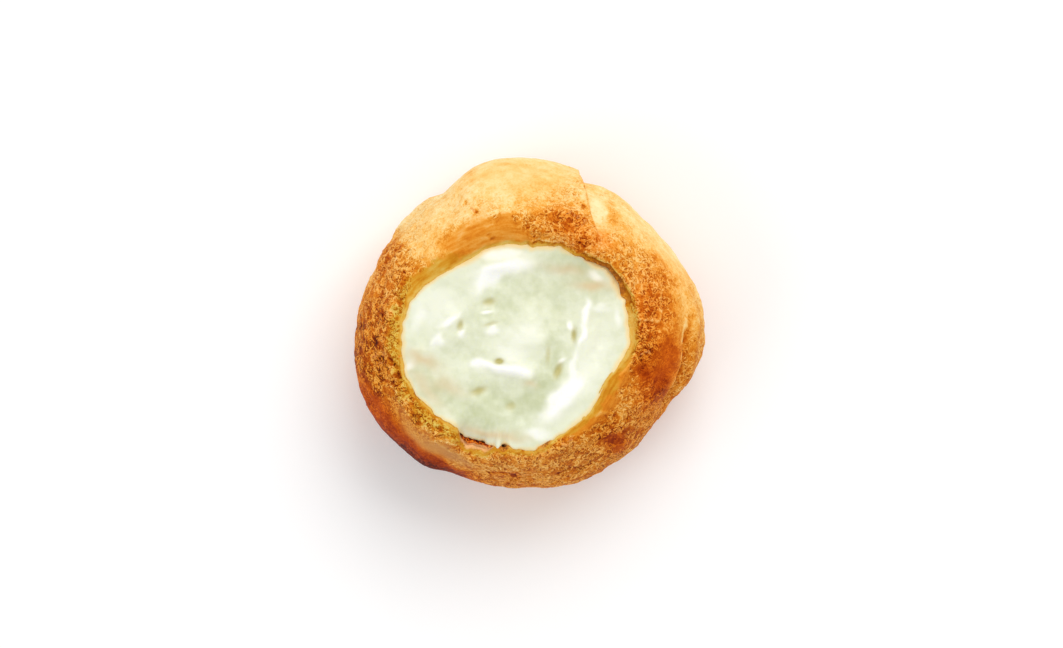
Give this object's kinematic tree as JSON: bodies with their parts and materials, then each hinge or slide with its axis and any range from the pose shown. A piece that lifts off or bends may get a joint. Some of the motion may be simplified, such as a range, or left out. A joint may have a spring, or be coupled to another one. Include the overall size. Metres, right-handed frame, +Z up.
{
  "type": "cream puff",
  "caption": "Baked choux bun with a lobed, crackled crust, its top torn away to show soft whipped cream filled up to the rim.",
  "frame": {"origin": "centre of the bun's outline, on the surface it stands on", "axes": "+Z up, out of the torn opening; +X to the right lobe and +Y to the back lobe, as seen from above"},
  "size_m": [0.075, 0.0708, 0.0402],
  "materials": {
    "baked_choux": "golden-brown baked crust, matt with a slight egg-rich sheen",
    "whipped_cream": "soft, moist whipped cream, off-white"
  },
  "bodies": {
    "root": {"choux_shell": "baked_choux", "cream_filling": "whipped_cream"}
  },
  "joints": []
}
